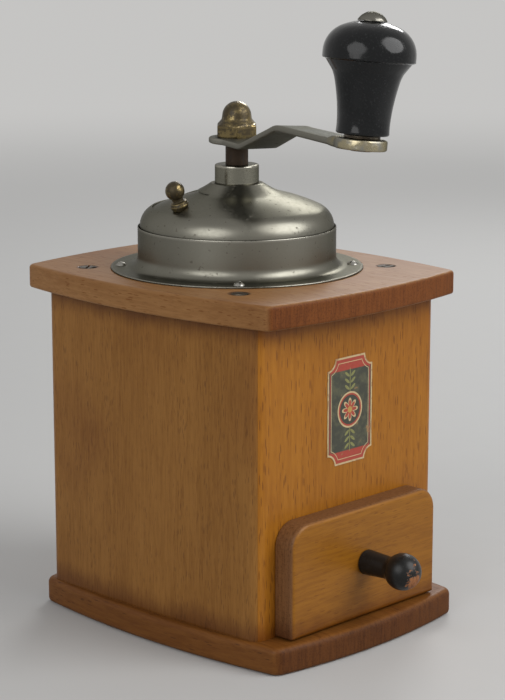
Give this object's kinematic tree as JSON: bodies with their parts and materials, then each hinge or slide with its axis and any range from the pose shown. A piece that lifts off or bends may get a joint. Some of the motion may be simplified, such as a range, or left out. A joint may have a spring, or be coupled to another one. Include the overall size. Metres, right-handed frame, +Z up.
{
  "type": "hand grinder",
  "caption": "Wooden box hand grinder with bowed base and top boards, a steel dome with a sliding hatch, a cranked handle on top and a drawer for the grounds.",
  "frame": {"origin": "on the spindle's axis, in the plane that the base rests on", "axes": "+Z up along the spindle, -Y towards the drawer's knob, +X to the right as seen from the drawer"},
  "size_m": [0.1391, 0.2118, 0.2599],
  "materials": {
    "base_wood": "old oiled beech, reddish brown, worn edges",
    "top_wood": "old oiled beech, dry and pale on top",
    "front_wood": "old varnished beech, golden, vertical grain",
    "side_wood": "old varnished beech, brown, vertical grain",
    "drawer_face_wood": "old varnished beech, golden brown",
    "drawer_wood": "bare beech, dusted with coffee",
    "black_lacquer": "turned wood under glossy black lacquer, worn through in spots",
    "label_print": "thin printed transfer, slightly worn",
    "sheet_steel": "spun sheet steel, satin, patchy with age",
    "turned_steel": "turned steel, satin, aged",
    "spindle_steel": "steel rod, browned by rust",
    "crank_steel": "plated strip steel, worn and yellowed",
    "brass": "aged brass, dull",
    "bearing_brass": "plain turned brass",
    "dark_screws": "steel wood screws, dark with age",
    "bright_screws": "bright steel fasteners",
    "hopper_iron": "cast iron, ground smooth inside",
    "bridge_steel": "strip steel, plain",
    "burr_iron": "hardened iron with cut teeth",
    "spring_steel": "spring steel, bright"
  },
  "bodies": {
    "case": {"base_plate": "base_wood", "front_panel": "front_wood", "back_panel": "front_wood", "left_panel": "side_wood", "right_panel": "side_wood", "top_plate": "top_wood", "top_screws": "dark_screws", "base_screws": "dark_screws", "front_label": "label_print", "cover_ring": "sheet_steel", "flange_screws": "bright_screws", "dome_cover": "sheet_steel", "dome_collar": "turned_steel", "collar_keeper": "turned_steel", "mill_hopper": "hopper_iron", "upper_bridge": "bridge_steel", "upper_bush": "bearing_brass", "bridge_screws": "bright_screws", "outer_burr": "burr_iron", "lower_bridge": "bridge_steel", "lower_bush": "bearing_brass", "lower_screws": "bright_screws"},
    "crank": {"spindle": "spindle_steel", "crank_arm": "crank_steel", "cap_nut": "brass", "grip_pin": "crank_steel", "grip_washer": "crank_steel", "burr_spring": "spring_steel"},
    "grip": {"crank_grip": "black_lacquer"},
    "burr": {"inner_burr": "burr_iron"},
    "adjuster": {"adjusting_nut": "bearing_brass"},
    "hatch": {"hatch_slider": "sheet_steel", "hatch_knob": "brass"},
    "drawer": {"drawer_front": "drawer_face_wood", "drawer_left": "drawer_wood", "drawer_right": "drawer_wood", "drawer_back": "drawer_wood", "drawer_bottom": "drawer_wood", "drawer_pins": "bright_screws", "drawer_knob": "black_lacquer", "knob_screw": "bright_screws"}
  },
  "joints": [
    {"name": "crank_turn", "type": "hinge", "parent": "case", "child": "crank", "pos_m": [0, 0, 0.1991], "axis": [0, 0, 1], "continuous": true},
    {"name": "grip_spin", "type": "hinge", "parent": "crank", "child": "grip", "pos_m": [-0.06131, -0.12112, 0.21528], "axis": [0.0911, -0.0247, 0.9955], "continuous": true},
    {"name": "adjust_turn", "type": "hinge", "parent": "burr", "child": "adjuster", "pos_m": [0, 0, 0.079], "axis": [0, 0, 1], "range_deg": [-180, 180]},
    {"name": "burr_lift", "type": "slide", "parent": "crank", "child": "burr", "axis": [0, 0, 1], "range_m": [-0.0005, 0.0005], "deforming": ["burr_spring"]},
    {"name": "hatch_turn", "type": "hinge", "parent": "case", "child": "hatch", "pos_m": [0, 0, 0.177], "axis": [0, 0, 1], "range_deg": [-74, 0]},
    {"name": "drawer_slide", "type": "slide", "parent": "case", "child": "drawer", "axis": [0, -1, 0], "range_m": [0, 0.09]}
  ],
  "couplings": [
    {"joint": "burr_lift", "follows": "adjust_turn", "m_per_rad": 0.000159}
  ]
}
